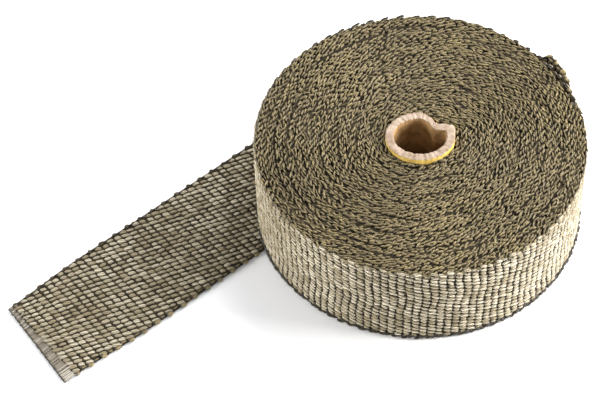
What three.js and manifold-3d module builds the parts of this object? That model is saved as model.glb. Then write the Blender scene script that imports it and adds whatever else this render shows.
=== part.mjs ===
// A roll of woven heat wrap tape, wound on a cardboard core and standing on its end,
// with its outermost turn drawn out underneath it as a free tail.
// Millimetres and degrees, +Z up. The roll's axis is vertical.
import * as THREE from 'three';
import { mergeVertices } from 'three/addons/utils/BufferGeometryUtils.js';
import Module from 'manifold-3d';

const wasm = await Module();
wasm.setup();

// Tape
const tapeWidth = 50;
const tapeThickness = 2;

// Roll
const rollDiameter = 154;
const turnPitch = 2.9;
const turnRelief = 0.8;
const rollEdgeBevel = 1.1;

// Cardboard core: a tube pressed oval, whose wall is dented inwards beside a sharp corner
const coreLongAxis = 32.2;
const coreShortAxis = 28.4;
const coreWall = 3.7;
const coreOffset = 1.3;
const coreProud = 2.2;
const coreClearance = 0.3;
const dentDepth = 4.3;
const dentOuterAngle = 40;
const dentInnerAngle = 27;
const dentShutOuterAngle = 20;
const dentShutInnerAngle = 11;
const dentOpenAngle = 92;
const cornerRise = 0.8;
const cornerAngle = 14;
const cornerHalfAngle = 14;

// Tail: it lies flat, passes under the roll, folds up its wall and becomes the outermost turn
const tailAngle = 38.3;
const tailOffset = 53.6;
const tailReach = 187;
const tailWidth = 54;
const tailEndWidth = 50;
const tailTaper = 45;
const foldRadius = 2;
const climbRadius = 50;

// Outermost turn, where it stands off the roll
const looseGap = 3.2;
const looseFrom = 15;
const looseFull = 36;
const looseUntil = 36;
const looseShut = 42;
const topDip = 6;
const pressedDepth = 0.6;

// Facets
const rollSides = 40;
const coreSides = 72;
const tapeSteps = 44;
const tapeColumns = 12;
const taperSteps = 3;
const flatLead = 25;

const rollRadius = rollDiameter / 2;
const seatRadius = rollRadius - pressedDepth;
const tapeColour = 0x6f6247;
const cardboardColour = 0xb78f57;

const { smoothstep, lerp, degToRad, radToDeg } = THREE.MathUtils;

// A closed mesh as a solid, and a solid as a mesh
function toSolid(geometry) {
  const bare = geometry.clone();
  bare.deleteAttribute('normal');
  bare.deleteAttribute('uv');
  const merged = mergeVertices(bare, 1e-4);
  return new wasm.Manifold(new wasm.Mesh({
    numProp: 3,
    vertProperties: new Float32Array(merged.attributes.position.array),
    triVerts: new Uint32Array(merged.index.array),
  }));
}

function toGeometry(solid) {
  const mesh = solid.getMesh();
  const geometry = new THREE.BufferGeometry();
  geometry.setAttribute('position', new THREE.BufferAttribute(mesh.vertProperties, 3));
  geometry.setIndex(new THREE.BufferAttribute(mesh.triVerts, 1));
  geometry.computeVertexNormals();
  return geometry;
}

// The core's section: an oval whose wall is dented inwards, with a sharp corner beside the dent
function ovalRadius(degrees, inset) {
  const x = Math.cos(degToRad(degrees)) / (coreLongAxis / 2 - inset);
  const y = Math.sin(degToRad(degrees)) / (coreShortAxis / 2 - inset);
  return 1 / Math.hypot(x, y);
}

function dent(degrees, shut, deepest) {
  const angle = THREE.MathUtils.euclideanModulo(degrees, 360);
  return dentDepth * smoothstep(angle, shut, deepest) * (1 - smoothstep(angle, deepest, dentOpenAngle));
}

function corner(degrees) {
  const away = Math.abs(THREE.MathUtils.euclideanModulo(degrees - cornerAngle + 180, 360) - 180);
  return cornerRise * (1 - smoothstep(away, 0, cornerHalfAngle));
}

function coreOuterRadius(degrees) {
  return ovalRadius(degrees, 0) + corner(degrees) - dent(degrees, dentShutOuterAngle, dentOuterAngle);
}

function coreInnerRadius(degrees) {
  return ovalRadius(degrees, coreWall) - dent(degrees, dentShutInnerAngle, dentInnerAngle);
}

function rollBoreRadius(degrees) {
  return ovalRadius(degrees, 0) + corner(degrees) + coreClearance;
}

// A closed outline round the axis, from its radius at each angle
function outlineAround(radiusAt, OutlineClass) {
  const points = [];
  for (let side = 0; side < coreSides; side += 1) {
    const degrees = side * 360 / coreSides;
    const direction = new THREE.Vector2(Math.cos(degToRad(degrees)), Math.sin(degToRad(degrees)));
    points.push(direction.multiplyScalar(radiusAt(degrees)));
  }
  return new OutlineClass(points);
}

function makeCore() {
  const section = outlineAround(coreOuterRadius, THREE.Shape);
  section.holes.push(outlineAround(coreInnerRadius, THREE.Path));
  const geometry = new THREE.ExtrudeGeometry(section, {
    depth: tapeWidth + coreProud,
    bevelEnabled: false,
  });
  geometry.translate(coreOffset, 0, 0);
  return toSolid(geometry);
}

// The wound roll: one turned solid, with a ridge for each turn on both ends and a bore for the core.
// The outermost turn is flat, and the roll stands on it.
function makeRoll() {
  const innerRadius = coreShortAxis / 2 - coreWall;
  const turns = Math.floor((rollRadius - innerRadius) / turnPitch);
  const upperEnd = [new THREE.Vector2(innerRadius, tapeWidth)];
  for (let turn = turns - 1; turn > 0; turn -= 1) {
    const outer = rollRadius - turn * turnPitch;
    upperEnd.push(new THREE.Vector2(outer - turnPitch / 2, tapeWidth));
    upperEnd.push(new THREE.Vector2(outer, tapeWidth - turnRelief));
  }
  upperEnd.push(new THREE.Vector2(rollRadius - turnPitch * 0.8, tapeWidth));
  upperEnd.push(new THREE.Vector2(rollRadius - rollEdgeBevel, tapeWidth));
  upperEnd.push(new THREE.Vector2(rollRadius, tapeWidth - rollEdgeBevel));
  const lowerEnd = upperEnd.map((point) => new THREE.Vector2(point.x, tapeWidth - point.y)).reverse();
  const geometry = new THREE.LatheGeometry([...upperEnd, ...lowerEnd, upperEnd[0]].reverse(), rollSides);
  geometry.rotateX(Math.PI / 2);

  const boreDepth = tapeWidth * 1.2;
  const bore = new THREE.ExtrudeGeometry(outlineAround(rollBoreRadius, THREE.Shape), {
    depth: boreDepth,
    bevelEnabled: false,
  });
  bore.translate(coreOffset, 0, (tapeWidth - boreDepth) / 2);
  return toSolid(geometry).subtract(toSolid(bore));
}

// The tape's layout, with the roll's wall folded out flat around its foot: straight under the roll,
// then an arc that runs tangent into the circle of the outermost turn's middle.
const wallCircle = rollRadius + tapeWidth / 2;
const climbCentre = new THREE.Vector2(
  Math.sqrt((wallCircle - climbRadius) ** 2 - (tailOffset - climbRadius) ** 2),
  tailOffset - climbRadius,
);
const climbStart = climbCentre.x;
const climbEnd = climbStart + climbRadius * (Math.PI / 2 - climbCentre.angle());
const turnLength = wallCircle * (degToRad(tailAngle - looseFrom) + climbCentre.angle());

// The place in the layout of a point of the tape, given its distance along it and from its middle
function layoutPoint(along, across) {
  const point = new THREE.Vector2(along, tailOffset + across);
  if (along > climbEnd) {
    const angle = climbCentre.angle() - (along - climbEnd) / wallCircle;
    point.set(Math.cos(angle), Math.sin(angle)).multiplyScalar(wallCircle + across);
  } else if (along > climbStart) {
    const angle = Math.PI / 2 - (along - climbStart) / climbRadius;
    point.set(Math.cos(angle), Math.sin(angle)).multiplyScalar(climbRadius + across).add(climbCentre);
  }
  return point.rotateAround(new THREE.Vector2(), degToRad(tailAngle));
}

// The tape is wound tight in the roll, and lies a little wider where it is loose
function widthAt(along) {
  const spread = lerp(tailEndWidth, tailWidth, smoothstep(along, -tailReach, tailTaper - tailReach));
  return lerp(spread, tapeWidth, smoothstep(along, -flatLead, climbStart));
}

// How far the outermost turn's inner side stands off the wall, at an angle and a height
function standOff(degrees, height) {
  const open = smoothstep(degrees, looseFrom, looseFull) * (1 - smoothstep(degrees, looseUntil, looseShut));
  const lean = lerp(0.6, 1, height / tapeWidth);
  const merged = tapeThickness * (1 - smoothstep(degrees, looseFrom, looseFrom + 12));
  return looseGap * open * lean - merged;
}

// The tape in space: flat on the floor, then folded round the roll's foot, then upright on its wall.
// across runs from -0.5 to 0.5 of the width, and outward from 0 on the side that faces the roll to the
// tape's thickness on the other side.
function tapePoint(along, across, outward) {
  const flat = layoutPoint(along, across * widthAt(along));
  const floorPlace = new THREE.Vector3(flat.x, flat.y, tapeThickness - outward);
  const intoFold = flat.length() - seatRadius + foldRadius;
  const folded = smoothstep(along, -flatLead, flatLead / 2);
  const upright = smoothstep(along, climbStart, climbEnd);
  const onFloor = intoFold <= 0 || folded === 0;
  if (onFloor && upright === 0) return floorPlace;

  const angle = flat.angle();
  const degrees = radToDeg(angle > Math.PI ? angle - 2 * Math.PI : angle);
  const bend = THREE.MathUtils.clamp(intoFold / foldRadius, 0, Math.PI / 2);
  const rise = Math.max(0, intoFold - foldRadius * Math.PI / 2);
  const foldHeight = tapeThickness + foldRadius - (foldRadius + outward) * Math.cos(bend) + rise;
  const foldReach = onFloor
    ? flat.length()
    : seatRadius - foldRadius + (foldRadius + outward) * Math.sin(bend);
  const height = Math.max(0, flat.length() - rollRadius);
  const dip = topDip * smoothstep(degrees, looseUntil, looseShut) * height / tapeWidth;
  const gap = standOff(degrees, height);
  const settled = Math.min(1, rise / foldRadius);
  const radial = lerp(foldReach + gap * settled, seatRadius + outward + gap, upright);
  const vertical = lerp(foldHeight, height, upright) - dip;
  const wallPlace = new THREE.Vector3(Math.cos(angle) * radial, Math.sin(angle) * radial, vertical);
  return floorPlace.lerp(wallPlace, Math.max(folded, upright));
}

// The tape as one closed strip: a box whose grid of points is moved on to the tape's route
function makeStrip() {
  const curved = flatLead + climbEnd + turnLength;
  const steps = taperSteps + 1 + tapeSteps;
  const geometry = new THREE.BoxGeometry(1, 1, 1, steps, tapeColumns, 1);
  const position = geometry.attributes.position;
  for (let i = 0; i < position.count; i += 1) {
    const step = Math.round((position.getX(i) + 0.5) * steps);
    const along = step <= taperSteps
      ? tailTaper * step / taperSteps - tailReach
      : curved * (step - taperSteps - 1) / tapeSteps - flatLead;
    const outward = (0.5 - position.getZ(i)) * tapeThickness;
    const place = tapePoint(along, position.getY(i), outward);
    position.setXYZ(i, place.x, place.y, place.z);
  }
  return toSolid(geometry);
}

function makeMesh(name, solid, colour, roughness) {
  const material = new THREE.MeshStandardMaterial({ color: colour, roughness, metalness: 0 });
  const mesh = new THREE.Mesh(toGeometry(solid), material);
  mesh.name = name;
  return mesh;
}

const heatWrap = new THREE.Group();
heatWrap.add(makeMesh('wrap_tape', makeRoll().add(makeStrip()), tapeColour, 0.85));
heatWrap.add(makeMesh('core_tube', makeCore(), cardboardColour, 0.9));

// The origin is on the floor under the middle of the whole part
const extent = new THREE.Box3().setFromObject(heatWrap, true);
const middle = extent.getCenter(new THREE.Vector3());
heatWrap.position.set(-middle.x, -middle.y, -extent.min.z);

export default heatWrap;
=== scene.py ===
"""Dresses a roll of woven heat wrap tape: its weave, turn edges, selvedges, frayed end and core."""

import math

import bpy
import numpy as np
from mathutils import Matrix, Vector


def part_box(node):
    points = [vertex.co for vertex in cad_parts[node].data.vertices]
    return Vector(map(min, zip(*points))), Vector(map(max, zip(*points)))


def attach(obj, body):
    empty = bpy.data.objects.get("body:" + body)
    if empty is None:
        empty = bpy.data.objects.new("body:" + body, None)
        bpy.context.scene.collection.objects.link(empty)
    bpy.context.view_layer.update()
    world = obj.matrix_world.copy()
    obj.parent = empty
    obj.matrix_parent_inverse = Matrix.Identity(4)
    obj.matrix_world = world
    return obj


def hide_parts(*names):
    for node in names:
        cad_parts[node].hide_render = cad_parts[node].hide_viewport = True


bl_info = {
    "name": "Heat Wrap Roll",
    "version": (1, 0, 0),
    "blender": (4, 5, 0),
    "location": "View3D > Sidebar > Heat Wrap",
    "description": "Builds a roll of woven heat wrap tape with its free tail and cardboard core",
    "category": "Object",
}

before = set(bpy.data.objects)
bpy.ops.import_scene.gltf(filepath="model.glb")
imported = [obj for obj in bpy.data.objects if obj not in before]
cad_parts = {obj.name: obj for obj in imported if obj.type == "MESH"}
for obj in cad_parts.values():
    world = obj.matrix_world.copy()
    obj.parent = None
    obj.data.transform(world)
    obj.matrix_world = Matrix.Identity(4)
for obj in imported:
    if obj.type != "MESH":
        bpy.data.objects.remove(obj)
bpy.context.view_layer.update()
CORE_LOW, CORE_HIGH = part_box("core_tube")
TAPE_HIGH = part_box("wrap_tape")[1]

MM = 0.001
TAU = 2 * math.pi
SEED = 7

# The roll and its core, in millimetres, as the frame has them
TAPE_WIDTH = TAPE_HIGH.z / MM
CORE_HEIGHT = CORE_HIGH.z / MM
TAPE_THICKNESS = 2.0
ROLL_RADIUS = 77.0
TURN_PITCH = 2.9
CORE_LONG, CORE_SHORT, CORE_WALL, CORE_OFFSET = 32.2, 28.4, 3.7, 1.3
DENT_DEPTH, DENT_OPEN = 4.3, 92.0
DENT_OUTER, DENT_OUTER_SHUT = 40.0, 20.0
DENT_INNER, DENT_INNER_SHUT = 27.0, 11.0
CORNER_RISE, CORNER_ANGLE, CORNER_HALF = 0.8, 14.0, 14.0
CORE_GAP, DENT_FOLLOWED, BOARD_ROUGHNESS = 0.2, 0.45, 0.08
AXIS = np.array([CORE_LOW.x / MM + CORE_LONG / 2 - CORE_OFFSET, CORE_LOW.y / MM + CORE_SHORT / 2])

# The tape's route: flat tail, fold round the roll's foot, outermost turn
TAIL_ANGLE, TAIL_OFFSET, TAIL_REACH = 38.3, 53.6, 187.0
TAIL_WIDTH, TAIL_END_WIDTH, TAIL_TAPER = 54.0, 50.0, 45.0
FOLD_RADIUS, CLIMB_RADIUS, FLAT_LEAD = 2.0, 50.0, 25.0
LOOSE_GAP, LOOSE_FROM, LOOSE_FULL, LOOSE_UNTIL, LOOSE_SHUT = 3.2, 15.0, 36.0, 36.0, 42.0
LOOSE_MERGE, FOOT_LEAN = 12.0, 0.6
TOP_DIP, PRESSED = 6.0, 0.6
SEAT_RADIUS = ROLL_RADIUS - PRESSED
WALL_CIRCLE = ROLL_RADIUS + TAPE_WIDTH / 2
CLIMB_X = math.sqrt((WALL_CIRCLE - CLIMB_RADIUS) ** 2 - (TAIL_OFFSET - CLIMB_RADIUS) ** 2)
CLIMB_Y = TAIL_OFFSET - CLIMB_RADIUS
CLIMB_TURN = math.atan2(CLIMB_Y, CLIMB_X)
CLIMB_END = CLIMB_X + CLIMB_RADIUS * (math.pi / 2 - CLIMB_TURN)
TURN_LENGTH = WALL_CIRCLE * (math.radians(TAIL_ANGLE - LOOSE_FROM) + CLIMB_TURN)

# The weave: its pitches, and how a float droops, slants and lies. The spans are shares of the tape's width
WARPS = 40
WARP_PITCH = TAPE_WIDTH / WARPS
WEFT_PITCH = 3.7
WALL_COLUMNS = 2 * round(TAU * ROLL_RADIUS / WEFT_PITCH / 2)
FLOAT_DROOP, FLOAT_BLUNTNESS, FLOAT_SHEAR = 0.22, 0.85, 0.45
WALL_SLANT, LOOSE_SLANT = 15.0, 13.0
WALL_SINK, FLOAT_LEVEL = 0.45, 0.62
FLOAT_SPAN, GROUND_SPAN = 0.955, 0.985

# The shape and lie of the other stitches: their feet, the turns' edges and the tape's selvedges
STITCH_FOOT = 0.38
EDGE_DROOP, EDGE_DEPTH, RIM_DEPTH = 0.35, 0.85, 0.6
EDGE_SLANT, EDGE_SLANT_STEP, EDGE_SLANT_SWING = -17.0, -5.0, 14.0
# Each row further in sits lower by the sink and gets a lower tone, so its painted highlight is dimmer.
ROW_START, ROW_STEP, ROW_SINK, ROW_DARKER = 0.6, 0.37, 0.2, 0.08
SELVEDGE_DROOP, SELVEDGE_SLANT, SELVEDGE_INSET, SELVEDGE_SPREAD = 0.4, 16.0, 0.75, 1.5
RIM_LOOP, RIM_HEIGHT, RIM_STAND_OFF, RIM_SPREAD = 0.7 * WEFT_PITCH, 1.3, 0.15, 1.1

# The free end
FRAY_LENGTH, FRAY_OVERLAP, FRAY_THICKNESS = 4.0, 2.4, 0.4
CUT_SKEW, CUT_MARGIN = 3.8, 0.2
TAIL_START = FRAY_LENGTH - TAIL_REACH

# The photograph's camera: where it stands and what it looks at, round the roll's axis
CAMERA_ELEVATION, CAMERA_DISTANCE, CAMERA_ROLL = 52.71, 993.1, -2.10
CAMERA_AIM = (-56.45, 5.07)
CAMERA_FOCAL_PX, PHOTO_WIDTH_PX, SENSOR_MM = 2058.7, 600, 36.0

# The stage: the floor lies just under the tape, and the lights are soft and slightly warm
FLOOR_HEIGHT, FLOOR_COLOUR = -0.0002, (0.93, 0.93, 0.94, 1)
LIGHT_COLOUR, SKY_COLOUR = (1.0, 0.98, 0.95), (0.93, 0.96, 1.0, 1)


# Curves and routes

def smoothstep(x, low, high):
    t = np.clip((x - low) / (high - low), 0, 1)
    return t * t * (3 - 2 * t)


def lerp(a, b, t):
    return a + (b - a) * t


def oval_radius(degrees, inset):
    x = np.cos(np.radians(degrees)) / (CORE_LONG / 2 - inset)
    y = np.sin(np.radians(degrees)) / (CORE_SHORT / 2 - inset)
    return 1 / np.hypot(x, y)


def dent(degrees, shut, deepest):
    angle = np.mod(degrees, 360)
    return DENT_DEPTH * smoothstep(angle, shut, deepest) * (1 - smoothstep(angle, deepest, DENT_OPEN))


def corner(degrees):
    away = np.abs(np.mod(degrees - CORNER_ANGLE + 180, 360) - 180)
    return CORNER_RISE * (1 - smoothstep(away, 0, CORNER_HALF))


def core_outer(degrees):
    return oval_radius(degrees, 0) + corner(degrees) - dent(degrees, DENT_OUTER_SHUT, DENT_OUTER)


def core_inner(degrees):
    return oval_radius(degrees, CORE_WALL) - dent(degrees, DENT_INNER_SHUT, DENT_INNER)


def turn_radius(degrees, share):
    """A wound turn's radius about the roll's axis: share 0 hugs the core, share 1 is the roll's outline."""
    inner = oval_radius(degrees, 0) + corner(degrees) + CORE_GAP
    inner = inner - DENT_FOLLOWED * dent(degrees, DENT_OUTER_SHUT, DENT_OUTER)
    inner = inner + CORE_OFFSET * np.cos(np.radians(degrees))
    return lerp(inner, ROLL_RADIUS, share)


def width_at(along):
    spread = lerp(TAIL_END_WIDTH, TAIL_WIDTH, smoothstep(along, -TAIL_REACH, TAIL_TAPER - TAIL_REACH))
    return lerp(spread, TAPE_WIDTH, smoothstep(along, -FLAT_LEAD, CLIMB_X))


def layout(along, off_middle):
    """The tape's plan, with the roll's wall folded out flat round its foot."""
    on_climb = along > CLIMB_X
    on_turn = along > CLIMB_END
    climb_angle = math.pi / 2 - (along - CLIMB_X) / CLIMB_RADIUS
    turn_angle = CLIMB_TURN - (along - CLIMB_END) / WALL_CIRCLE
    climb_reach, turn_reach = CLIMB_RADIUS + off_middle, WALL_CIRCLE + off_middle
    x = np.where(on_climb, CLIMB_X + np.cos(climb_angle) * climb_reach, along)
    y = np.where(on_climb, CLIMB_Y + np.sin(climb_angle) * climb_reach, TAIL_OFFSET + off_middle)
    x = np.where(on_turn, np.cos(turn_angle) * turn_reach, x)
    y = np.where(on_turn, np.sin(turn_angle) * turn_reach, y)
    c, s = math.cos(math.radians(TAIL_ANGLE)), math.sin(math.radians(TAIL_ANGLE))
    return x * c - y * s, x * s + y * c


def stand_off(degrees, height):
    """How far the outermost turn stands off the roll, less where it merges into the wound turns."""
    opening = smoothstep(degrees, LOOSE_FROM, LOOSE_FULL)
    opening = opening * (1 - smoothstep(degrees, LOOSE_UNTIL, LOOSE_SHUT))
    lean = lerp(FOOT_LEAN, 1.0, height / TAPE_WIDTH)
    merged = TAPE_THICKNESS * (1 - smoothstep(degrees, LOOSE_FROM, LOOSE_FROM + LOOSE_MERGE))
    return LOOSE_GAP * opening * lean - merged


def tape_place(along, across, outward):
    """Points of the tape in the row frame. across is a share of the width, outward is in millimetres."""
    x, y = layout(along, across * width_at(along))
    reach = np.hypot(x, y)
    into_fold = reach - SEAT_RADIUS + FOLD_RADIUS
    folded = smoothstep(along, -FLAT_LEAD, FLAT_LEAD / 2)
    upright = smoothstep(along, CLIMB_X, CLIMB_END)
    on_floor = (into_fold <= 0) | (folded == 0)
    angle = np.arctan2(y, x)
    degrees = np.degrees(angle)
    bend = np.clip(into_fold / FOLD_RADIUS, 0, math.pi / 2)
    rise = np.maximum(0, into_fold - FOLD_RADIUS * math.pi / 2)
    bend_radius = FOLD_RADIUS + outward
    fold_height = TAPE_THICKNESS + FOLD_RADIUS - bend_radius * np.cos(bend) + rise
    fold_reach = np.where(on_floor, reach, SEAT_RADIUS - FOLD_RADIUS + bend_radius * np.sin(bend))
    height = np.maximum(0, reach - ROLL_RADIUS)
    dip = TOP_DIP * smoothstep(degrees, LOOSE_UNTIL, LOOSE_SHUT) * height / TAPE_WIDTH
    gap = stand_off(degrees, height)
    settled = np.minimum(1, rise / FOLD_RADIUS)
    radial = lerp(fold_reach + gap * settled, SEAT_RADIUS + outward + gap, upright)
    vertical = lerp(fold_height, height, upright) - dip
    share = np.where(on_floor & (upright == 0), 0, np.maximum(folded, upright))
    return np.stack([
        lerp(x, np.cos(angle) * radial, share) + AXIS[0],
        lerp(y, np.sin(angle) * radial, share) + AXIS[1],
        lerp(TAPE_THICKNESS - outward, vertical, share),
    ], -1) * MM


def round_axis(angle, radial, height):
    """Points round the roll's axis, in millimetres."""
    return np.stack([AXIS[0] + np.cos(angle) * radial, AXIS[1] + np.sin(angle) * radial, height], -1)


# Mesh helpers

def deselect_all():
    if bpy.context.object and bpy.context.object.mode != "OBJECT":
        bpy.ops.object.mode_set(mode="OBJECT")
    bpy.ops.object.select_all(action="DESELECT")


def make_active(piece):
    deselect_all()
    bpy.context.view_layer.objects.active = piece
    piece.select_set(True)


def named(name):
    """The shape that was just added, under its name."""
    piece = bpy.context.object
    piece.name = name
    return piece


def edit_all():
    bpy.ops.object.mode_set(mode="EDIT")
    bpy.ops.mesh.select_all(action="SELECT")


def leave_edit():
    bpy.ops.object.mode_set(mode="OBJECT")


def slice_up(axis, slices):
    """Cuts a unit shape in edit mode into equal slices along one axis, and selects all of it."""
    spot, normal = [0, 0, 0], [0, 0, 0]
    normal[axis] = 1
    for cut in range(1, slices):
        spot[axis] = cut / slices - 0.5
        bpy.ops.mesh.select_all(action="SELECT")
        bpy.ops.mesh.bisect(plane_co=spot, plane_no=normal)
    bpy.ops.mesh.select_all(action="SELECT")


def smooth_outwards():
    """Turns the faces of a shape in edit mode out, shades them smooth and leaves edit mode."""
    bpy.ops.mesh.select_all(action="SELECT")
    bpy.ops.mesh.normals_make_consistent(inside=False)
    bpy.ops.mesh.faces_shade_smooth()
    leave_edit()


def apply_array(piece, name, count, offset):
    array = piece.modifiers.new(name, "ARRAY")
    array.count = count
    array.use_relative_offset = False
    array.use_constant_offset = True
    array.constant_offset_displace = offset
    bpy.ops.object.modifier_apply(modifier=array.name)


def points_of(piece):
    co = np.empty(len(piece.data.vertices) * 3)
    piece.data.vertices.foreach_get("co", co)
    return co.reshape(-1, 3)


def array_starts(along, across, per):
    """Where the copies of an array start, given once for each of their points."""
    return np.stack([along, across, 0.0 * along], -1).repeat(per, 0)


def place_points(piece, co):
    """Moves the points to their place, none of them below the floor."""
    co = np.maximum(co, (-1.0, -1.0, 0.0))
    piece.data.vertices.foreach_set("co", np.ascontiguousarray(co, dtype=np.float32).ravel())
    piece.data.update()


def yarn_stitch(name, length, width, height, droop, segments=6, rings=6):
    """One short arch of yarn along X, in millimetres, modelled from a sphere."""
    deselect_all()
    bpy.ops.mesh.primitive_uv_sphere_add(
        segments=segments, ring_count=rings, radius=0.5, rotation=(0, math.pi / 2, 0))
    piece = named(name)
    bpy.ops.object.transform_apply(location=True, rotation=True, scale=True)
    edit_all()
    bpy.ops.transform.resize(value=(length, width, height))
    bpy.ops.mesh.select_all(action="DESELECT")
    leave_edit()
    for vertex in piece.data.vertices:
        vertex.select = abs(vertex.co.x) > STITCH_FOOT * length
    bpy.ops.object.mode_set(mode="EDIT")
    bpy.ops.transform.translate(value=(0, 0, -droop))
    smooth_outwards()
    return piece


def pair_up(step):
    """Adds a second stitch beside the active one, moved by step."""
    edit_all()
    bpy.ops.mesh.duplicate()
    bpy.ops.transform.translate(value=step)
    leave_edit()


def mark_yarn(piece, local, size, tone):
    """Gives each stitch a UV map along and round its yarn, and a tone of its own."""
    u = local[:, 0] / size[0] + 0.5
    v = np.arctan2(local[:, 1] / size[1], local[:, 2] / size[2]) / TAU + 0.5
    loops = np.empty(len(piece.data.loops), np.int32)
    piece.data.loops.foreach_get("vertex_index", loops)
    uv = piece.data.uv_layers.get("UVMap") or piece.data.uv_layers.new(name="UVMap")
    uv.name = "yarn"
    uv.data.foreach_set("uv", np.stack([u[loops], v[loops]], -1).astype(np.float32).ravel())
    attribute = piece.data.attributes.new("tone", "FLOAT", "POINT")
    attribute.data.foreach_set("value", tone.astype(np.float32))


def jitter(local, per, count, rng, turn, slant, stretch, shift):
    """Turns, stretches and moves each stitch a little, so that no two are quite alike."""
    angle = np.radians(slant + rng.normal(0, turn, count)).repeat(per)
    scale = (1 + rng.normal(0, stretch, (count, 3))).clip(0.75, 1.3).repeat(per, 0)
    moved = (rng.normal(0, 1, (count, 3)) * shift).repeat(per, 0)
    p = local * scale
    x = p[:, 0] * np.cos(angle) - p[:, 1] * np.sin(angle)
    y = p[:, 0] * np.sin(angle) + p[:, 1] * np.cos(angle)
    return np.stack([x, y, p[:, 2]], -1) + moved


def face_outwards(piece):
    """Turns all faces over where the mesh, as placed, encloses a negative volume."""
    mesh = piece.data
    mesh.calc_loop_triangles()
    corners = np.empty(len(mesh.loop_triangles) * 3, np.int32)
    mesh.loop_triangles.foreach_get("vertices", corners)
    first, second, third = points_of(piece)[corners].reshape(-1, 3, 3).transpose(1, 0, 2)
    if (first * np.cross(second, third)).sum() < 0:
        make_active(piece)
        edit_all()
        bpy.ops.mesh.flip_normals()
        leave_edit()


def finish_piece(piece, materials, node=None):
    face_outwards(piece)
    for material in materials:
        piece.data.materials.append(material)
    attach(piece, "root")
    if node:
        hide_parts(node)


# Materials

YARN_BUMP, YARN_BUMP_DISTANCE, FINE_BUMP_DISTANCE = 0.8, 0.0004, 0.0003
# The two ends of the ground's mottled near-black colour, painted shade for the gaps between the stitches.
GROUND_SHADE, GROUND_LIGHT = (0.008, 0.006, 0.003), (0.045, 0.034, 0.017)
# The frayed yarn's colours: the first is painted shade at a strand's ends and sides, the last a painted
# highlight on its crown.
FRAYED_SHADE, FRAYED_YARN, FRAYED_HIGHLIGHT = (0.02, 0.016, 0.010), (0.13, 0.105, 0.07), (0.55, 0.51, 0.44)
SKIN_SHADE, RIM_SHADE, BORE_SHADE = (0.46, 0.29, 0.05), (0.25, 0.175, 0.12), (0.20, 0.115, 0.042)


def new_group(name, inputs, outputs):
    tree = bpy.data.node_groups.new(name, "ShaderNodeTree")
    for label, kind, default in inputs:
        socket = tree.interface.new_socket(label, in_out="INPUT", socket_type=kind)
        socket.default_value = default
    for label, kind in outputs:
        tree.interface.new_socket(label, in_out="OUTPUT", socket_type=kind)
    return tree, tree.nodes.new("NodeGroupInput"), tree.nodes.new("NodeGroupOutput")


def math_node(tree, operation, a, b=None):
    node = tree.nodes.new("ShaderNodeMath")
    node.operation = operation
    for socket, value in zip(node.inputs, (a, b)):
        if value is None:
            continue
        if isinstance(value, (int, float)):
            socket.default_value = value
        else:
            tree.links.new(value, socket)
    return node.outputs[0]


def map_range(tree, value, low, high, to_low=0.0, to_high=1.0):
    node = tree.nodes.new("ShaderNodeMapRange")
    tree.links.new(value, node.inputs["Value"])
    node.inputs["From Min"].default_value = low
    node.inputs["From Max"].default_value = high
    node.inputs["To Min"].default_value = to_low
    node.inputs["To Max"].default_value = to_high
    return node.outputs["Result"]


def mix_colour(tree, factor, a, b, blend="MIX"):
    node = tree.nodes.new("ShaderNodeMix")
    node.data_type = "RGBA"
    node.blend_type = blend
    for socket, value in zip((node.inputs[0], node.inputs[6], node.inputs[7]), (factor, a, b)):
        if isinstance(value, (int, float)):
            socket.default_value = value
        elif isinstance(value, tuple):
            socket.default_value = (*value, 1.0)
        else:
            tree.links.new(value, socket)
    return node.outputs[2]


def noise(tree, vector, scale, detail, roughness):
    node = tree.nodes.new("ShaderNodeTexNoise")
    node.inputs["Scale"].default_value = scale
    node.inputs["Detail"].default_value = detail
    node.inputs["Roughness"].default_value = roughness
    tree.links.new(vector, node.inputs["Vector"])
    return node.outputs["Fac"]


def off_middle(tree, value):
    """How far a map's coordinate is from its middle, on either side."""
    return math_node(tree, "ABSOLUTE", math_node(tree, "SUBTRACT", value, 0.5))


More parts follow.
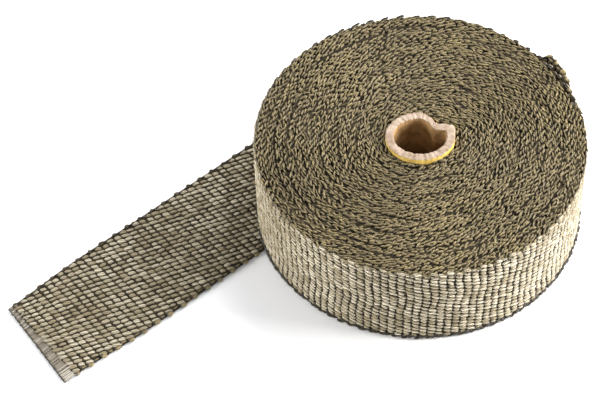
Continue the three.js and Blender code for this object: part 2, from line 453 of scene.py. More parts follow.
def yarn_group():
    """Mineral fibre yarn: fine strands twisted along the stitch, with painted shade at its ends and sides
    and a painted highlight on its crown.
    """
    tree, inputs, outputs = new_group(
        "Fibre Yarn",
        [("Shade", "NodeSocketColor", (0.1, 0.07, 0.03, 1)),
         ("Yarn", "NodeSocketColor", (0.3, 0.24, 0.14, 1)),
         ("Bright", "NodeSocketColor", (0.6, 0.54, 0.4, 1)),
         ("Strands", "NodeSocketFloat", 5.0), ("Twist", "NodeSocketFloat", 1.6)],
        [("Color", "NodeSocketColor"), ("Roughness", "NodeSocketFloat"), ("Height", "NodeSocketFloat")],
    )
    links = tree.links
    uv = tree.nodes.new("ShaderNodeUVMap")
    uv.uv_map = "yarn"
    split = tree.nodes.new("ShaderNodeSeparateXYZ")
    links.new(uv.outputs["UV"], split.inputs[0])
    u, v = split.outputs[0], split.outputs[1]
    tone = tree.nodes.new("ShaderNodeAttribute")
    tone.attribute_name = "tone"
    place = tree.nodes.new("ShaderNodeTexCoord").outputs["Object"]

    round_yarn = math_node(tree, "MULTIPLY", v, inputs.outputs["Strands"])
    along_yarn = math_node(tree, "MULTIPLY", u, inputs.outputs["Twist"])
    phase = math_node(tree, "ADD", math_node(tree, "ADD", round_yarn, along_yarn), tone.outputs["Fac"])
    strand = math_node(tree, "SINE", math_node(tree, "MULTIPLY", phase, TAU))
    strand = map_range(tree, strand, -1, 1)
    fine = noise(tree, place, 2600, 3, 0.6)
    strand_part = math_node(tree, "MULTIPLY", strand, 0.65)
    height = math_node(tree, "ADD", strand_part, math_node(tree, "MULTIPLY", fine, 0.5))

    # The crown mask: high on the middle of the stitch, falling off towards its ends and sides.
    top = map_range(tree, off_middle(tree, v), 0.3, 0.1)
    middle = map_range(tree, off_middle(tree, u), 0.5, 0.3)
    crown = math_node(tree, "MULTIPLY", top, middle)
    cloud = noise(tree, place, 26, 2, 0.5)
    # Painted highlight: the crown, broken by the strands, the stitch's tone and random patches, is mixed
    # towards the pale highlight colour.
    lit = math_node(tree, "MULTIPLY", crown, map_range(tree, strand, 0, 1, 0.1, 1.0))
    lit = math_node(tree, "MULTIPLY", lit, map_range(tree, tone.outputs["Fac"], 0, 1, 0.25, 1.25))
    lit = math_node(tree, "MULTIPLY", lit, map_range(tree, cloud, 0.3, 0.7, 0.5, 1.35))
    # Painted shade: towards the stitch's ends and sides the yarn colour is mixed down to the near-black
    # Shade colour.
    body = map_range(tree, crown, 0.0, 0.6)
    colour = mix_colour(tree, body, inputs.outputs["Shade"], inputs.outputs["Yarn"])
    colour = mix_colour(tree, lit, colour, inputs.outputs["Bright"])
    links.new(colour, outputs.inputs["Color"])
    links.new(map_range(tree, fine, 0.2, 0.8, 0.38, 0.62), outputs.inputs["Roughness"])
    links.new(height, outputs.inputs["Height"])
    return tree


def principled(name, specular=0.5):
    material = bpy.data.materials.new(name)
    material.use_nodes = True
    shader = material.node_tree.nodes["Principled BSDF"]
    shader.inputs["Specular IOR Level"].default_value = specular
    return material, material.node_tree, shader


def add_bump(tree, shader, height, strength, distance):
    bump = tree.nodes.new("ShaderNodeBump")
    bump.inputs["Strength"].default_value = strength
    bump.inputs["Distance"].default_value = distance
    tree.links.new(height, bump.inputs["Height"])
    tree.links.new(bump.outputs["Normal"], shader.inputs["Normal"])


def yarn_material(name, group, shade, yarn, bright, strands, twist):
    material, tree, shader = principled(name)
    node = tree.nodes.new("ShaderNodeGroup")
    node.node_tree = group
    node.inputs["Shade"].default_value = (*shade, 1)
    node.inputs["Yarn"].default_value = (*yarn, 1)
    node.inputs["Bright"].default_value = (*bright, 1)
    node.inputs["Strands"].default_value = strands
    node.inputs["Twist"].default_value = twist
    tree.links.new(node.outputs["Color"], shader.inputs["Base Color"])
    tree.links.new(node.outputs["Roughness"], shader.inputs["Roughness"])
    add_bump(tree, shader, node.outputs["Height"], YARN_BUMP, YARN_BUMP_DISTANCE)
    shader.inputs["Sheen Weight"].default_value = 0.1
    return material


def ground_weave_material():
    """The dark ground under the stitches: packed weft yarn in deep shade, with that shade painted into its
    near-black colour.
    """
    material, tree, shader = principled("Ground Weave", 0.2)
    place = tree.nodes.new("ShaderNodeTexCoord").outputs["Object"]
    coarse = noise(tree, place, 420, 3, 0.6)
    fine = noise(tree, place, 1900, 2, 0.5)
    colour = mix_colour(tree, map_range(tree, coarse, 0.35, 0.7), GROUND_SHADE, GROUND_LIGHT)
    tree.links.new(colour, shader.inputs["Base Color"])
    shader.inputs["Roughness"].default_value = 0.85
    add_bump(tree, shader, fine, 0.6, FINE_BUMP_DISTANCE)
    return material


# Pieces

def weave_patch(name, columns, route, rng, slant, size):
    """Warp floats of a plain weave, laid flat by arrays and then carried on to their route."""
    piece = yarn_stitch(name, *size, FLOAT_DROOP * size[2])
    per = len(piece.data.vertices)
    pair_up((WEFT_PITCH, WARP_PITCH, 0))
    make_active(piece)
    pairs, rows = columns // 2, WARPS // 2
    apply_array(piece, "Along", pairs, (2 * WEFT_PITCH, 0, 0))
    apply_array(piece, "Across", rows, (0, 2 * WARP_PITCH, 0))
    co = points_of(piece)
    stitches = len(co) // per
    index = np.arange(stitches)
    column = 2 * ((index // 2) % pairs) + index % 2
    warp = 2 * ((index // 2) // pairs) + index % 2
    local = co - array_starts(column * WEFT_PITCH, warp * WARP_PITCH, per)
    mark_yarn(piece, local, size, rng.random(stitches).repeat(per))
    half = size[0] / 2
    local[:, 0] = np.sign(local[:, 0]) * half * np.abs(local[:, 0] / half) ** FLOAT_BLUNTNESS
    local[:, 0] += FLOAT_SHEAR * math.copysign(1, slant) * local[:, 1]
    local = jitter(local, per, stitches, rng, turn=6.0, slant=slant, stretch=0.12, shift=(0.1, 0.08, 0.06))
    across = (warp.repeat(per) - (WARPS - 1) / 2) * WARP_PITCH + local[:, 1]
    along = (column.repeat(per) + 0.5) * WEFT_PITCH + local[:, 0]
    place_points(piece, route(along, across, local[:, 2]))
    return piece


def wall_route(along, across, up):
    """Round the roll's wall, clockwise from the place where the outermost turn comes away.

    The wefts lean and wave a little, and the whole number of columns closes on itself.
    """
    wave = 0.5 * np.sin(across * 0.13 + along * 0.026) + 0.3 * np.sin(across * 0.31 + along * 0.065)
    angle = math.radians(LOOSE_FROM) - (along + wave) * TAU / (WALL_COLUMNS * WEFT_PITCH)
    across = across + 0.25 * np.sin(along * 0.052) * np.cos(across * math.pi / TAPE_WIDTH)
    return round_axis(angle, ROLL_RADIUS - WALL_SINK + up, TAPE_WIDTH / 2 + across) * MM


def strip_route(start, outer, stretch=1.0):
    """Along one face of the loose tape, from start, with the weft pitch stretched a little to fit."""
    def route(along, across, up):
        outward = TAPE_THICKNESS - FLOAT_LEVEL + up if outer else FLOAT_LEVEL - up
        return tape_place(start + along * stretch, across / TAPE_WIDTH * FLOAT_SPAN, outward)
    return route


class SpiralTable:
    """Places along the wound tape's edge, counted from the roll's outside inwards.

    The outermost turns keep to the roll's outline and step inwards beside the loose turn.
    """

    def __init__(self):
        self.turns = (ROLL_RADIUS - (CORE_LONG + CORE_SHORT) / 4) / TURN_PITCH
        self.theta = np.linspace(0, self.turns * TAU, 9000)
        radius = self.radius(self.theta)
        steps = (radius[1:] + radius[:-1]) / 2 * np.diff(self.theta)
        self.length = np.concatenate([[0], np.cumsum(steps)])

    def radius(self, theta):
        turn = np.floor(theta / TAU)
        part = theta / TAU - turn
        stepped = smoothstep(part, 0.86, 1.0)
        even = smoothstep(theta / TAU, 0.5, 5)
        share = 1 - (turn + lerp(stepped, part, even)) / self.turns
        return turn_radius(LOOSE_FROM - np.degrees(theta), share) - TURN_PITCH / 2

    def place(self, along, inward, up):
        theta = np.interp(along, self.length, self.theta)
        angle = math.radians(LOOSE_FROM) - theta
        wobble = 0.30 * np.sin(theta * 1.7 + 3 * np.sin(angle * 2)) + 0.22 * np.sin(theta * 5.3)
        radial = self.radius(theta) - inward + wobble * smoothstep(theta, TAU * 0.9, TAU * 2)
        wave = 0.3 * np.sin(theta * 2.3 + 1) + 0.22 * np.sin(angle * 7 + theta) + 0.15 * np.sin(theta * 0.61)
        return round_axis(angle, radial, up + wave)


def turn_edges(name, spiral, upper, row, rows, rng, size, rings=7):
    """One of the rows of curly edge stitches of every wound turn, on one end of the roll."""
    piece = yarn_stitch(name, *size, EDGE_DROOP, rings=rings)
    per = len(piece.data.vertices)
    count = int(spiral.length[-1] // WEFT_PITCH) - 1
    make_active(piece)
    apply_array(piece, "Along", count, (WEFT_PITCH, 0, 0))
    index = np.arange(count)
    start = array_starts(index * WEFT_PITCH, 0.0 * index, per)
    local = points_of(piece) - start
    # Each row further in gets a lower tone and so a dimmer painted highlight.
    tone = rng.normal(0.5 - ROW_DARKER * row, 0.34, count).clip(-0.3, 1.3)
    mark_yarn(piece, local, size, tone.repeat(per))
    bend = (rng.normal(0, 0.16, count) + 0.22).repeat(per)
    local[:, 1] += bend * np.sin(TAU * local[:, 0] / size[0])
    round_roll = math.radians(LOOSE_FROM) - np.interp(index * WEFT_PITCH, spiral.length, spiral.theta)
    slant = EDGE_SLANT + EDGE_SLANT_STEP * (row % 2) + EDGE_SLANT_SWING * np.cos(2 * round_roll)
    local = jitter(local, per, count, rng, turn=13.0, slant=slant, stretch=0.16, shift=(0.35, 0.13, 0.2))
    along = start[:, 0] + local[:, 0] + WEFT_PITCH * (ROW_START + ROW_STEP * row)
    inward = ((row + 0.5) / rows - 0.5) * TURN_PITCH + local[:, 1]
    place = spiral.place(along, inward, local[:, 2] - ROW_SINK * row)
    reach = np.hypot(place[:, 0] - AXIS[0], place[:, 1] - AXIS[1])
    rim = smoothstep(reach, ROLL_RADIUS - 1.2, ROLL_RADIUS)
    depth = EDGE_DEPTH + RIM_DEPTH * rim - place[:, 2]
    place[:, 2] = TAPE_WIDTH - depth if upper else np.maximum(depth, 0.0)
    place_points(piece, place * MM)
    return piece


def selvedge(name, route, length, per_loop, rng, size):
    """A chain of weft loops round one edge of the tape, half of them turning over it."""
    piece = yarn_stitch(name, *size, SELVEDGE_DROOP, segments=8)
    per = len(piece.data.vertices)
    make_active(piece)
    count = int(length // per_loop)
    apply_array(piece, "Along", count, (per_loop, 0, 0))
    index = np.arange(count)
    start = array_starts(index * per_loop, 0.0 * index, per)
    local = points_of(piece) - start
    # The loops that turn over the edge get the lowest tone and so the least painted highlight.
    mark_yarn(piece, local, size, np.where(index % 2, -0.3, 0.7 * rng.random(count)).repeat(per))
    local[:, 2] *= np.where(index % 2, 0.8, 1.1).repeat(per)
    local = jitter(
        local, per, count, rng, turn=6.0, slant=SELVEDGE_SLANT, stretch=0.1, shift=(0.2, 0.1, 0.12))
    out = np.where(index % 2, -0.3, 0.3).repeat(per) + local[:, 2]
    place_points(piece, route(start[:, 0] + per_loop / 2 + local[:, 0], local[:, 1], out))
    return piece


def rim_route(along, side, out):
    """Along the lower rim of the roll's wall. out is away from the tape's middle, side is outwards."""
    angle = math.radians(LOOSE_FROM) - along / ROLL_RADIUS
    radial = ROLL_RADIUS + RIM_STAND_OFF + RIM_SPREAD * side
    return round_axis(angle, radial, np.maximum(RIM_HEIGHT - out, 0.0)) * MM


def edge_route(start, far):
    """Along one edge of the loose tape."""
    def route(along, side, out):
        reach = (0.5 + (out - SELVEDGE_INSET) / TAPE_WIDTH) * (1 if far else -1)
        return tape_place(start + along, reach, TAPE_THICKNESS / 2 + SELVEDGE_SPREAD * side)
    return route


def wound_body(name):
    """The body of the wound turns, dark with painted shade under the stitches: a ridged profile spun round
    the axis, with an oval bore.
    """
    deselect_all()
    turns = int((ROLL_RADIUS - CORE_LONG / 2) / TURN_PITCH)
    crest, valley, wall = 0.9, 2.0, ROLL_RADIUS - 0.75
    profile = [(0.0, crest)]
    for turn in range(1, turns + 1):
        profile.append((turn / turns - 0.5 / turns, valley if turn % 2 else valley - 0.2))
        profile.append((turn / turns, crest))
    rings = [(share, TAPE_WIDTH - depth) for share, depth in profile]
    rings += [(share, depth) for share, depth in reversed(profile)]
    steps = 144
    bpy.ops.mesh.primitive_grid_add(x_subdivisions=steps, y_subdivisions=len(rings) - 1, size=1)
    piece = named(name)
    co = points_of(piece)
    column = np.rint((co[:, 0] + 0.5) * steps).astype(int)
    row = np.rint((co[:, 1] + 0.5) * (len(rings) - 1)).astype(int)
    degrees = column * 360.0 / steps
    share = np.array([ring[0] for ring in rings])[row]
    radial = turn_radius(degrees, share * (wall - 20) / (ROLL_RADIUS - 20)) + 0.1
    height = np.array([ring[1] for ring in rings])[row]
    place_points(piece, round_axis(np.radians(degrees), radial, height) * MM)
    edit_all()
    bpy.ops.mesh.remove_doubles(threshold=1e-6)
    bpy.ops.mesh.select_all(action="DESELECT")
    bpy.ops.mesh.select_non_manifold()
    bpy.ops.mesh.bridge_edge_loops()
    smooth_outwards()
    return piece


def strip_body(name):
    """The loose tape's ground: one closed slab under the stitches of both faces."""
    deselect_all()
    bpy.ops.mesh.primitive_cube_add(size=1)
    piece = named(name)
    length = CLIMB_END + TURN_LENGTH - TAIL_START
    edit_all()
    slice_up(0, 150)
    slice_up(1, 24)
    bpy.ops.mesh.faces_shade_smooth()
    leave_edit()
    co = points_of(piece)
    along = (co[:, 0] + 0.5) * length + TAIL_START
    outward = TAPE_THICKNESS / 2 + co[:, 2]
    place_points(piece, tape_place(along, co[:, 1] * GROUND_SPAN, outward))
    return piece


def cut_line(across):
    """How far out the free end is cut, at a share of the tape's width."""
    return -TAIL_REACH + CUT_MARGIN + CUT_SKEW * across


def frayed_warps(name, rng):
    """Flat unwoven warp ends past the last weft of the free end, split into thin strands side by side."""
    strands = 2 * WARPS
    pitch = TAPE_WIDTH / strands
    size = (1, 1.3 * pitch, FRAY_THICKNESS)
    deselect_all()
    bpy.ops.mesh.primitive_cube_add(size=1)
    piece = named(name)
    edit_all()
    slice_up(0, 6)
    bpy.ops.transform.resize(value=size)
    leave_edit()
    per = len(piece.data.vertices)
    apply_array(piece, "Across", strands, (0, pitch, 0))
    index = np.arange(strands)
    local = points_of(piece) - array_starts(0.0 * index, index * pitch, per)
    across = (index - (strands - 1) / 2) / strands
    open_end = 1 - smoothstep(across, -0.46, -0.34)
    patch = rng.random(WARPS).repeat(2) ** 1.5
    bundled = 0.5 * patch + 0.6 * rng.random(strands) - 0.3
    # The strands at the open corner get a high tone, which strengthens their painted highlight.
    tone = lerp(bundled, 0.9 + 0.5 * rng.random(strands), open_end)
    mark_yarn(piece, local, size, tone.repeat(per))
    out = 0.5 - local[:, 0]
    tip = cut_line(across) + rng.normal(0, 0.2, strands)
    along = lerp(TAIL_START + FRAY_OVERLAP, tip.repeat(per), out)
    bundle = (np.round(across * WARPS) / WARPS - across) * TAPE_WIDTH * (0.3 + 0.4 * open_end)
    drift = (rng.normal(0, 0.18, strands) + bundle).repeat(per) * out
    lift = (rng.random(strands) * 0.6).repeat(per)
    up = lerp(1.05, 0.5, smoothstep(out, 0.1, 0.7)) + lift + local[:, 2]
    sideways = across.repeat(per) + (local[:, 1] + drift) / TAPE_WIDTH
    place_points(piece, tape_place(along, sideways * GROUND_SPAN, TAPE_THICKNESS - up))
    return piece


def cut_bead(name):
    """The thin dark line along the cut, in the near-black ground colour."""
    deselect_all()
    bpy.ops.mesh.primitive_cylinder_add(vertices=8, radius=0.5, depth=1, rotation=(math.pi / 2, 0, 0))
    piece = named(name)
    bpy.ops.object.transform_apply(location=True, rotation=True, scale=True)
    edit_all()
    slice_up(1, 60)
    bpy.ops.mesh.faces_shade_smooth()
    leave_edit()
    co = points_of(piece)
    ripple = 0.12 * np.sin(co[:, 1] * 83) + 0.1 * np.sin(co[:, 1] * 197)
    along = cut_line(co[:, 1]) + co[:, 0] * 0.5 + ripple
    up = 0.75 + co[:, 2] * 0.75 + 0.15 * np.sin(co[:, 1] * 61)
    place_points(piece, tape_place(along, co[:, 1] * GROUND_SPAN, TAPE_THICKNESS - up))
    return piece


def core_piece(name):
    """The cardboard tube: outer skin, rough cut rims and bore, as one closed ring of sections."""
    around, tall, deep = 240, 12, 6
    profile = [(1.0, step / tall) for step in range(tall + 1)]
    profile += [(1 - step / deep, 1.0) for step in range(1, deep)]
    profile += [(0.0, 1 - step / tall) for step in range(tall + 1)]
    profile += [(step / deep, 0.0) for step in range(1, deep)]
    deselect_all()
    bpy.ops.mesh.primitive_torus_add(
        major_segments=around, minor_segments=len(profile), major_radius=2, minor_radius=1)
    piece = named(name)
    count = len(profile)
    share = np.array([spot[0] for spot in profile])
    level = np.array([spot[1] for spot in profile])
    ring = np.arange(around).repeat(count)
    spot = np.tile(np.arange(count), around)
    degrees = ring * 360.0 / around
    radial = lerp(core_inner(degrees), core_outer(degrees), share[spot])
    rng = np.random.default_rng(SEED + 5)
    rough = rng.normal(0, BOARD_ROUGHNESS, (around, count)).ravel()
    ragged = 0.25 * np.sin(np.radians(degrees) * 9) + 0.2 * np.sin(np.radians(degrees) * 23 + 1)
    on_rim = (share[spot] > 0) & (share[spot] < 1)
    top = level[spot] > 0.99
    worn = np.abs(ragged) + np.where(on_rim, np.abs(rough) * 1.6, np.abs(rough))
    height = level[spot] * CORE_HEIGHT - np.where(top, worn, 0)
    radial = radial + np.where(top & ~on_rim, rough * 0.8, 0)
    place_points(piece, round_axis(np.radians(degrees), radial, height) * MM)
    edit_all()
    smooth_outwards()
    for polygon in piece.data.polygons:
        spots = [share[vertex % count] for vertex in polygon.vertices]
        if min(spots) > 0.99:
            polygon.material_index = 0
        elif max(spots) < 0.01:
            polygon.material_index = 2
        else:
            polygon.material_index = 1
    return piece


def board_group():
    """Grey or brown board: soft fibres, specks and a height."""
    tree, inputs, outputs = new_group(
        "Board Fibre",
        [("Dark", "NodeSocketColor", (0.3, 0.2, 0.1, 1)), ("Light", "NodeSocketColor", (0.6, 0.45, 0.3, 1)),
         ("Speck", "NodeSocketFloat", 0.4)],
        [("Color", "NodeSocketColor"), ("Height", "NodeSocketFloat")],
    )
    place = tree.nodes.new("ShaderNodeTexCoord").outputs["Object"]
    cloud = noise(tree, place, 190, 4, 0.6)
    grain = noise(tree, place, 1500, 3, 0.65)
    fleck = map_range(tree, grain, 0.58, 0.7)
    patch = map_range(tree, cloud, 0.35, 0.65)
    colour = mix_colour(tree, patch, inputs.outputs["Dark"], inputs.outputs["Light"])
    darker = mix_colour(tree, 1.0, colour, (0.55, 0.48, 0.42), "MULTIPLY")
    fleck = math_node(tree, "MULTIPLY", fleck, inputs.outputs["Speck"])
    tree.links.new(mix_colour(tree, fleck, colour, darker), outputs.inputs["Color"])
    tree.links.new(grain, outputs.inputs["Height"])
    return tree


def board_material(name, group, dark, light, speck, roughness, bump):
    material, tree, shader = principled(name, 0.25)
    node = tree.nodes.new("ShaderNodeGroup")
    node.node_tree = group
    node.inputs["Dark"].default_value = (*dark, 1)
    node.inputs["Light"].default_value = (*light, 1)
    node.inputs["Speck"].default_value = speck
    tree.links.new(node.outputs["Color"], shader.inputs["Base Color"])
    shader.inputs["Roughness"].default_value = roughness
    add_bump(tree, shader, node.outputs["Height"], bump, FINE_BUMP_DISTANCE)
    return material


# Properties, operators and panel

class HeatWrapSizes(bpy.types.PropertyGroup):
    float_size: bpy.props.FloatVectorProperty(
        name="Float", description="Length, width and height of one float of the weave", unit="LENGTH",
        default=(0.0044, 0.00215, 0.0013), min=0.0002, precision=5)
    edge_size: bpy.props.FloatVectorProperty(
        name="Edge stitch", description="Length, width and height of one stitch on a turn's edge",
        unit="LENGTH", default=(0.0039, 0.001, 0.0016), min=0.0002, precision=5)
    selvedge_size: bpy.props.FloatVectorProperty(
        name="Selvedge loop", description="Length, width and height of one loop of the tape's selvedge",
        unit="LENGTH", default=(0.0042, 0.0015, 0.0015), min=0.0002, precision=5)


class HeatWrapColours(bpy.types.PropertyGroup):
    # Painted shade: the near-black colour at the stitches' ends and sides, where the gaps of the weave lie.
    shade: bpy.props.FloatVectorProperty(
        name="Shade", description="Yarn in the gaps of the weave", subtype="COLOR",
        default=(0.014, 0.010, 0.004))
    yarn: bpy.props.FloatVectorProperty(
        name="Yarn", description="The bronze yarn itself", subtype="COLOR", default=(0.19, 0.138, 0.052))
    # Painted highlight for the turns' edges and the selvedges: the yarn's olive, kept dimmer than the wall's
    # as painted shade for faces that get less light.
    edge: bpy.props.FloatVectorProperty(
        name="Edge", description="The olive crown of a stitch on a turn's edge", subtype="COLOR",
        default=(0.54, 0.42, 0.175))
    # Painted highlight: the pale colour laid on each stitch's crown, standing in for the sheen of the glossy
    # yarn.
    bright: bpy.props.FloatVectorProperty(
        name="Bright", description="The pale crown of a stitch", subtype="COLOR", default=(0.78, 0.71, 0.55))
    skin: bpy.props.FloatVectorProperty(
        name="Core skin", description="The core's yellow outer ply", subtype="COLOR",
        default=(0.70, 0.49, 0.12))
    rim: bpy.props.FloatVectorProperty(
        name="Core rim", description="The core's cut rim", subtype="COLOR", default=(0.42, 0.335, 0.265))
    bore: bpy.props.FloatVectorProperty(
        name="Core bore", description="The inside of the core", subtype="COLOR", default=(0.36, 0.22, 0.095))


class HeatWrapStage(bpy.types.PropertyGroup):
    key_power: bpy.props.FloatProperty(
        name="Key light", description="Power of the main soft light", default=17.0, unit="POWER", min=0)
    top_power: bpy.props.FloatProperty(
        name="Top light", description="Power of the soft light above", default=17.0, unit="POWER", min=0)
    fill_power: bpy.props.FloatProperty(
        name="Fill light", description="Power of the soft light from the left", default=10.0, unit="POWER",
        min=0)
    ambient: bpy.props.FloatProperty(
        name="Ambient", description="Strength of the plain light all round", default=0.62, min=0)


def in_mm(size):
    """A size property's three lengths in millimetres, to a thousandth."""
    return tuple(round(length / MM, 3) for length in size)


def yarn_look(name, strands=5.0, twist=1.2, edge=False, painted_light_gain=1.0):
    colours = bpy.context.scene.heat_wrap_colours
    group = bpy.data.node_groups.get("Fibre Yarn") or yarn_group()
    # Painted light: the edge stitches take the dimmer edge highlight, and the gain scales the yarn and its
    # highlight down into shaded copies of the wall's yarn.
    bright = colours.edge if edge else colours.bright
    yarn, bright = ([painted_light_gain * part for part in colour] for colour in (colours.yarn, bright))
    return yarn_material(name, group, tuple(colours.shade), yarn, bright, strands, twist)


def frayed_look():
    """Paler and greyer than the woven yarn, in straight flat strands."""
    group = bpy.data.node_groups["Fibre Yarn"]
    # The frayed strands get the same painted shade at their ends and sides and the same painted highlight on
    # their crowns.
    return yarn_material("Frayed Yarn", group, FRAYED_SHADE, FRAYED_YARN, FRAYED_HIGHLIGHT, 3.0, 0.1)


def ground_look():
    return bpy.data.materials.get("Ground Weave") or ground_weave_material()


class HEATWRAP_OT_bodies(bpy.types.Operator):
    """Build the ground of the wound turns and of the loose tape, dark with painted shade"""
    bl_idname = "heatwrap.bodies"
    bl_label = "Tape Ground"

    def execute(self, context):
        finish_piece(wound_body("wound_ground"), [ground_look()], "wrap_tape")
        finish_piece(strip_body("loose_ground"), [ground_look()])
        return {"FINISHED"}


class HEATWRAP_OT_wall(bpy.types.Operator):
    """Weave the outside of the roll"""
    bl_idname = "heatwrap.wall"
    bl_label = "Roll Wall Weave"

    def execute(self, context):
        rng = np.random.default_rng(SEED)
        size = in_mm(context.scene.heat_wrap_sizes.float_size)
        wall = weave_patch("wall_weave", WALL_COLUMNS, wall_route, rng, WALL_SLANT, size)
        # The wall takes the yarn at full strength, its pale painted highlight standing in for the sheen of
        # the yarn seen broadside.
        finish_piece(wall, [yarn_look("Wall Yarn")])
        return {"FINISHED"}


class HEATWRAP_OT_tail(bpy.types.Operator):
    """Weave both faces of the free tail and of the outermost turn, and fray the free end"""
    bl_idname = "heatwrap.tail"
    bl_label = "Loose Tape Weave"

    def execute(self, context):
        rng = np.random.default_rng(SEED + 1)
        size = in_mm(context.scene.heat_wrap_sizes.float_size)
        # The tail's yarn is painted darker than the wall's, as painted shade for a face lying flat.
        look = yarn_look("Tail Yarn", twist=2.6, painted_light_gain=0.8)
        tail_columns = 2 * int(-TAIL_START / WEFT_PITCH / 2)
        rest = TAIL_START + tail_columns * WEFT_PITCH
        turn_reach = CLIMB_END + TURN_LENGTH + WEFT_PITCH - rest
        turn_columns = 2 * int(turn_reach / WEFT_PITCH / 2)
        stretch = turn_reach / (turn_columns * WEFT_PITCH)
        for label, outer in (("outer", True), ("inner", False)):
            slant = LOOSE_SLANT if outer else -LOOSE_SLANT
            tail_route = strip_route(TAIL_START, outer)
            turn_route = strip_route(rest, outer, stretch)
            tail = weave_patch("tail_weave_" + label, tail_columns, tail_route, rng, slant, size)
            turn = weave_patch("turn_weave_" + label, turn_columns, turn_route, rng, slant, size)
            finish_piece(tail, [look])
            finish_piece(turn, [look])
        finish_piece(frayed_warps("frayed_end", rng), [frayed_look()])
        finish_piece(cut_bead("cut_line"), [ground_look()])
        return {"FINISHED"}


class HEATWRAP_OT_turn_edges(bpy.types.Operator):
    """Lay the edge of the wound tape round both ends of the roll"""
    bl_idname = "heatwrap.turn_edges"
    bl_label = "Turn Edges"

    def execute(self, context):
        rng = np.random.default_rng(SEED + 2)
        size = in_mm(context.scene.heat_wrap_sizes.edge_size)
        spiral = SpiralTable()
        # The turns' edges are painted much darker than the wall, as painted shade for the roll's flat end.
        look = yarn_look("Edge Yarn", 3.0, 1.0, edge=True, painted_light_gain=0.55)
        for row, label in enumerate(("outer", "middle", "inner")):
            finish_piece(turn_edges(f"upper_{label}_edges", spiral, True, row, 3, rng, size), [look])
        for row, label in enumerate(("outer", "inner")):
            finish_piece(turn_edges(f"lower_{label}_edges", spiral, False, row, 2, rng, size, 4), [look])
        return {"FINISHED"}


class HEATWRAP_OT_selvedges(bpy.types.Operator):
    """Loop the weft round the edges of the loose tape and of the roll's lower rim"""
    bl_idname = "heatwrap.selvedges"
    bl_label = "Selvedges"

    def execute(self, context):
        rng = np.random.default_rng(SEED + 3)
        size = in_mm(context.scene.heat_wrap_sizes.selvedge_size)
        # The selvedges are painted darker than the wall, a shaded copy of the same yarn.
        look = yarn_look("Selvedge Yarn", 4.0, 1.0, edge=True, painted_light_gain=0.75)
        length = CLIMB_END + TURN_LENGTH - TAIL_START
        routes = [
            ("lower_rim_selvedge", rim_route, TAU * ROLL_RADIUS, RIM_LOOP),
            ("far_selvedge", edge_route(TAIL_START, True), length, WEFT_PITCH),
            ("near_selvedge", edge_route(TAIL_START, False), length, WEFT_PITCH),
        ]
        for name, route, reach, loop in routes:
            finish_piece(selvedge(name, route, reach, loop, rng, size), [look])
        return {"FINISHED"}


class HEATWRAP_OT_core(bpy.types.Operator):
    """Model the dented cardboard core with its rough cut rim"""
    bl_idname = "heatwrap.core"
    bl_label = "Cardboard Core"

    def execute(self, context):
        group = board_group()
        colours = context.scene.heat_wrap_colours
        looks = [
            board_material("Core Skin", group, SKIN_SHADE, colours.skin, 0.25, 0.7, 0.2),
            board_material("Core Rim", group, RIM_SHADE, colours.rim, 0.6, 0.95, 0.7),
            board_material("Core Bore", group, BORE_SHADE, colours.bore, 0.4, 0.9, 0.4),
        ]
        finish_piece(core_piece("cardboard_core"), looks, "core_tube")
        return {"FINISHED"}


class HEATWRAP_OT_stage(bpy.types.Operator):
    """Set up the camera, the pale floor and the soft studio light"""
    bl_idname = "heatwrap.stage"
    bl_label = "Stage"

    def execute(self, context):
        add_camera()
        add_floor()
        add_lights(context.scene.heat_wrap_stage)
        return {"FINISHED"}


def add_camera():
    elevation = math.radians(CAMERA_ELEVATION)
    aim = np.array([AXIS[0] + CAMERA_AIM[0], AXIS[1] + CAMERA_AIM[1], 0.0])
    forward = np.array([0, math.cos(elevation), -math.sin(elevation)])
    data = bpy.data.cameras.new("Camera")
    camera = bpy.data.objects.new("Camera", data)
    bpy.context.scene.collection.objects.link(camera)
    data.sensor_width = SENSOR_MM
    data.lens = CAMERA_FOCAL_PX * SENSOR_MM / PHOTO_WIDTH_PX
    data.clip_start = 0.05
    camera.rotation_mode = "XYZ"
    tilt = Matrix.Rotation(math.pi / 2 - elevation, 4, "X")
    spin = Matrix.Rotation(math.radians(CAMERA_ROLL), 4, "Z")
    place = Matrix.Translation((aim - forward * CAMERA_DISTANCE) * MM)
    camera.matrix_world = place @ tilt @ spin
    bpy.context.scene.camera = camera


def add_floor():
    deselect_all()
    bpy.ops.mesh.primitive_plane_add(size=6, location=(0, 0, FLOOR_HEIGHT))
    floor = named("floor")
    material, _, shader = principled("Floor", 0.1)
    shader.inputs["Base Color"].default_value = FLOOR_COLOUR
    shader.inputs["Roughness"].default_value = 0.9
    floor.data.materials.append(material)


def add_area(name, place, aim, size, power):
    data = bpy.data.lights.new(name, "AREA")
    data.shape = "SQUARE"
    data.size = size
    data.energy = power
    data.color = LIGHT_COLOUR
    light = bpy.data.objects.new(name, data)
    bpy.context.scene.collection.objects.link(light)
    light.location = place
    light.rotation_euler = (Vector(aim) - Vector(place)).to_track_quat("-Z", "Y").to_euler()


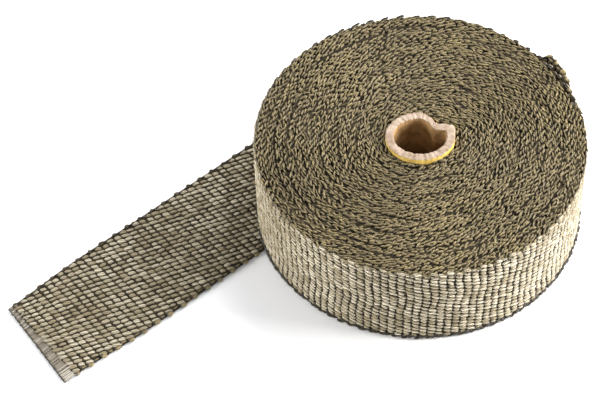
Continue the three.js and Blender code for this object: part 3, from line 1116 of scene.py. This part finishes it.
def add_lights(stage):
    bpy.context.scene.view_settings.view_transform = "Standard"
    world = bpy.context.scene.world or bpy.data.worlds.new("World")
    bpy.context.scene.world = world
    world.use_nodes = True
    background = world.node_tree.nodes["Background"]
    background.inputs["Color"].default_value = SKY_COLOUR
    background.inputs["Strength"].default_value = stage.ambient
    add_area("key_light", (0.92, -0.06, 0.40), (0.06, 0, 0.02), 0.45, stage.key_power)
    add_area("fill_light", (-0.95, -0.22, 0.34), (0.0, 0, 0.02), 0.45, stage.fill_power)
    add_area("top_light", (0.55, 0.60, 0.85), (0.0, 0, 0.02), 0.8, stage.top_power)


class HEATWRAP_PT_panel(bpy.types.Panel):
    """Lists the steps that build the roll"""
    bl_idname = "HEATWRAP_PT_panel"
    bl_label = "Heat Wrap"
    bl_space_type = "VIEW_3D"
    bl_region_type = "UI"
    bl_category = "Heat Wrap"

    def draw(self, context):
        layout_column = self.layout.column(align=True)
        scene = context.scene
        for settings in (scene.heat_wrap_sizes, scene.heat_wrap_colours, scene.heat_wrap_stage):
            for key in settings.__annotations__:
                layout_column.prop(settings, key)
        for operator in OPERATORS:
            layout_column.operator(operator.bl_idname)


OPERATORS = (
    HEATWRAP_OT_stage,
    HEATWRAP_OT_bodies,
    HEATWRAP_OT_wall,
    HEATWRAP_OT_tail,
    HEATWRAP_OT_turn_edges,
    HEATWRAP_OT_selvedges,
    HEATWRAP_OT_core,
)
CLASSES = (HeatWrapSizes, HeatWrapColours, HeatWrapStage, *OPERATORS, HEATWRAP_PT_panel)


def register():
    for cls in CLASSES:
        bpy.utils.register_class(cls)
    bpy.types.Scene.heat_wrap_sizes = bpy.props.PointerProperty(type=HeatWrapSizes)
    bpy.types.Scene.heat_wrap_colours = bpy.props.PointerProperty(type=HeatWrapColours)
    bpy.types.Scene.heat_wrap_stage = bpy.props.PointerProperty(type=HeatWrapStage)


def unregister():
    del bpy.types.Scene.heat_wrap_stage
    del bpy.types.Scene.heat_wrap_colours
    del bpy.types.Scene.heat_wrap_sizes
    for cls in reversed(CLASSES):
        bpy.utils.unregister_class(cls)


def main():
    register()
    bpy.ops.heatwrap.stage()
    bpy.ops.heatwrap.bodies()
    bpy.ops.heatwrap.wall()
    bpy.ops.heatwrap.tail()
    bpy.ops.heatwrap.turn_edges()
    bpy.ops.heatwrap.selvedges()
    bpy.ops.heatwrap.core()


if __name__ == "__main__":
    main()
